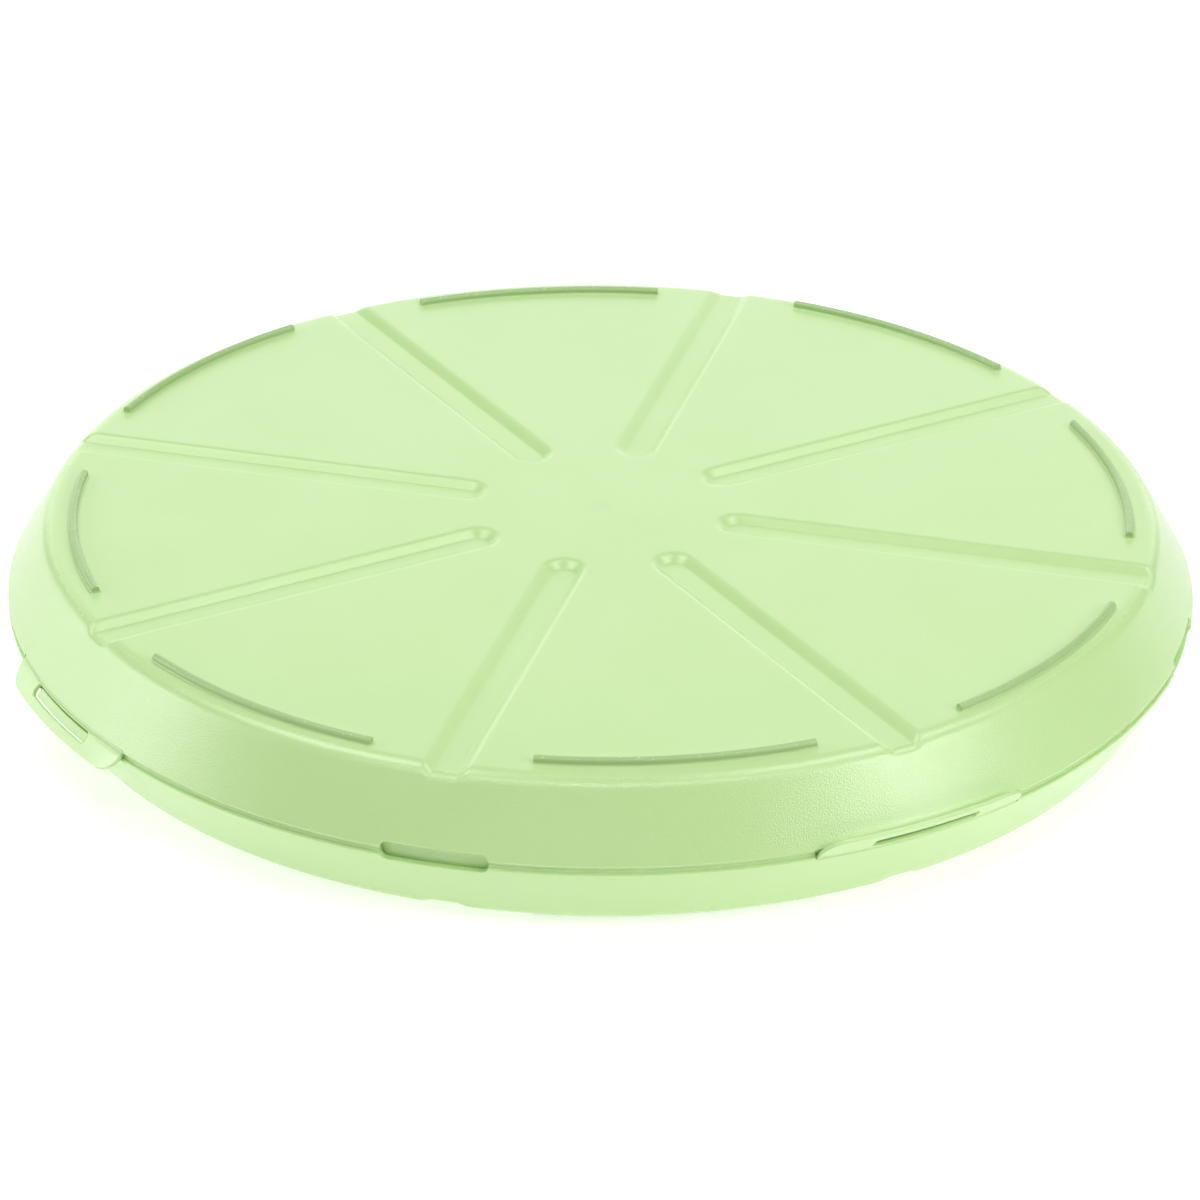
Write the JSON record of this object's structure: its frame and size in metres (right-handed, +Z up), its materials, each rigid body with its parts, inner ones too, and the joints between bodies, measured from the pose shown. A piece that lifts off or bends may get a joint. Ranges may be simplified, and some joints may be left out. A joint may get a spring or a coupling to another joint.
{
  "type": "snap lid food container",
  "caption": "Flat round snap-lid food container: a shallow tray and a matching turned-over lid with flexing latch tabs, thumb notches, radial grooves and raised stacking arcs.",
  "frame": {"origin": "middle of the footprint, on the surface that the container stands on", "axes": "+Z up through the round container's middle; the lid's tabs lie on the X axis, the tray's tabs on the Y axis"},
  "size_m": [0.3584, 0.3584, 0.0476],
  "materials": {
    "mint_polypropylene": "satin"
  },
  "bodies": {
    "tray": {"tray_shell": "mint_polypropylene"},
    "lid": {"lid_shell": "mint_polypropylene"},
    "tray_tab_front": {"tray_tab_front": "mint_polypropylene"},
    "tray_tab_back": {"tray_tab_back": "mint_polypropylene"},
    "lid_tab_left": {"lid_tab_left": "mint_polypropylene"},
    "lid_tab_right": {"lid_tab_right": "mint_polypropylene"}
  },
  "joints": [
    {"name": "lid_lift", "type": "slide", "parent": "tray", "child": "lid", "axis": [0, 0, 1], "range_m": [0, 0.06]},
    {"name": "tray_tab_front_flex", "type": "hinge", "parent": "tray", "child": "tray_tab_front", "pos_m": [0, -0.17441, 0.0219], "axis": [1, 0, 0], "range_deg": [0, 14], "stiffness_Nm_per_rad": 0.3},
    {"name": "tray_tab_back_flex", "type": "hinge", "parent": "tray", "child": "tray_tab_back", "pos_m": [0, 0.17441, 0.0219], "axis": [-1, 0, 0], "range_deg": [0, 14], "stiffness_Nm_per_rad": 0.3},
    {"name": "lid_tab_left_flex", "type": "hinge", "parent": "lid", "child": "lid_tab_left", "pos_m": [-0.17441, 0, 0.0257], "axis": [0, 1, 0], "range_deg": [0, 14], "stiffness_Nm_per_rad": 0.3},
    {"name": "lid_tab_right_flex", "type": "hinge", "parent": "lid", "child": "lid_tab_right", "pos_m": [0.17441, 0, 0.0257], "axis": [0, -1, 0], "range_deg": [0, 14], "stiffness_Nm_per_rad": 0.3}
  ]
}
